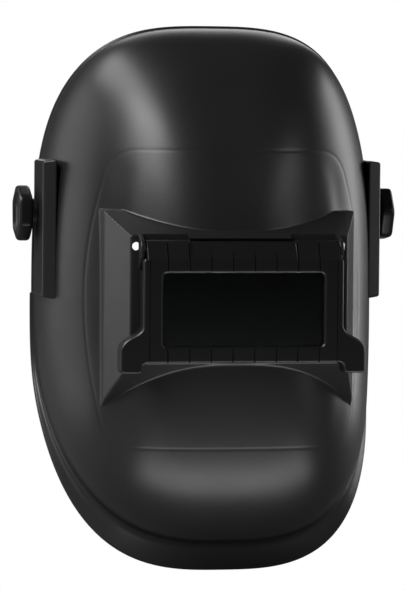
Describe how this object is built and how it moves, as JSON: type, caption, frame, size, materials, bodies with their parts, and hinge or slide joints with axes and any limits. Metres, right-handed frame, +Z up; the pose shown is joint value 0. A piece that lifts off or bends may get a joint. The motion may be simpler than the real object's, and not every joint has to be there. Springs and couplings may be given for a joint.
{
  "type": "welding helmet",
  "caption": "Face shell with a flip-up filter window, tilting on two hex knobs over a padded ratchet headgear.",
  "frame": {"origin": "midway between the two tilt pivots, on their axis", "axes": "+Z up, the face looks towards -Y, +X to the picture's right (the wearer's left)"},
  "size_m": [0.2392, 0.258, 0.3342],
  "materials": {
    "shell_plastic": "satin with a fine grain",
    "black_plastic": "satin",
    "nylon": "satin",
    "filter_glass": "polished, very dark green",
    "clear_plate": "polished",
    "rubber": "matte",
    "steel": "plated",
    "padding": "brushed knit over foam"
  },
  "bodies": {
    "headgear": {"headband": "nylon", "sweatband": "padding", "crown_strap_left": "nylon", "crown_strap_right": "nylon", "crown_stud": "black_plastic", "strap_rivet_left": "black_plastic", "strap_rivet_right": "black_plastic", "arm_rivet_left": "black_plastic", "arm_rivet_right": "black_plastic", "pivot_arm_left": "nylon", "pivot_arm_right": "nylon", "pivot_bolt_left": "nylon", "pivot_bolt_right": "nylon", "tilt_stop_plate_left": "nylon", "tilt_stop_plate_right": "nylon", "friction_washer_left": "nylon", "friction_washer_right": "nylon", "outer_washer_left": "nylon", "outer_washer_right": "nylon", "ratchet_housing": "black_plastic", "ratchet_cover": "black_plastic", "ratchet_pawl_spring": "steel", "nape_pad": "padding"},
    "shell": {"helmet_shell": "shell_plastic", "inner_lens_holder": "black_plastic", "clear_safety_plate": "clear_plate", "safety_plate_spring": "steel", "flip_hinge_rod": "steel", "flip_spring": "steel"},
    "flip_window": {"flip_frame": "black_plastic", "front_cover_plate": "clear_plate", "filter_gasket": "rubber", "filter_plate": "filter_glass", "filter_retainer": "black_plastic"},
    "knob_left": {"tension_knob_left": "black_plastic"},
    "knob_right": {"tension_knob_right": "black_plastic"},
    "size_knob": {"ratchet_knob": "black_plastic", "ratchet_pinion": "nylon"},
    "band_end_left": {"rear_band_left": "nylon"},
    "band_end_right": {"rear_band_right": "nylon"}
  },
  "joints": [
    {"name": "shell_tilt", "type": "hinge", "parent": "headgear", "child": "shell", "pos_m": [0, 0, 0], "axis": [-1, 0, 0], "range_deg": [0, 65]},
    {"name": "flip_front", "type": "hinge", "parent": "shell", "child": "flip_window", "pos_m": [0, -0.1182, -0.0173], "axis": [-1, 0, 0], "range_deg": [0, 110]},
    {"name": "tension_knob_left_turn", "type": "hinge", "parent": "headgear", "child": "knob_left", "pos_m": [-0.1151, 0, 0], "axis": [-1, 0, 0], "range_deg": [-180, 180]},
    {"name": "tension_knob_right_turn", "type": "hinge", "parent": "headgear", "child": "knob_right", "pos_m": [0.1151, 0, 0], "axis": [1, 0, 0], "range_deg": [-180, 180]},
    {"name": "size_knob_turn", "type": "hinge", "parent": "headgear", "child": "size_knob", "pos_m": [0, 0.11, -0.02503], "axis": [0, 1, 0], "range_deg": [0, 76]},
    {"name": "band_end_left_slide", "type": "slide", "parent": "headgear", "child": "band_end_left", "axis": [1, 0, 0], "range_m": [0, 0.008]},
    {"name": "band_end_right_slide", "type": "slide", "parent": "headgear", "child": "band_end_right", "axis": [-1, 0, 0], "range_m": [0, 0.008]}
  ],
  "couplings": [
    {"joint": "band_end_left_slide", "follows": "size_knob_turn", "m_per_rad": 0.006},
    {"joint": "band_end_right_slide", "follows": "size_knob_turn", "m_per_rad": 0.006}
  ]
}
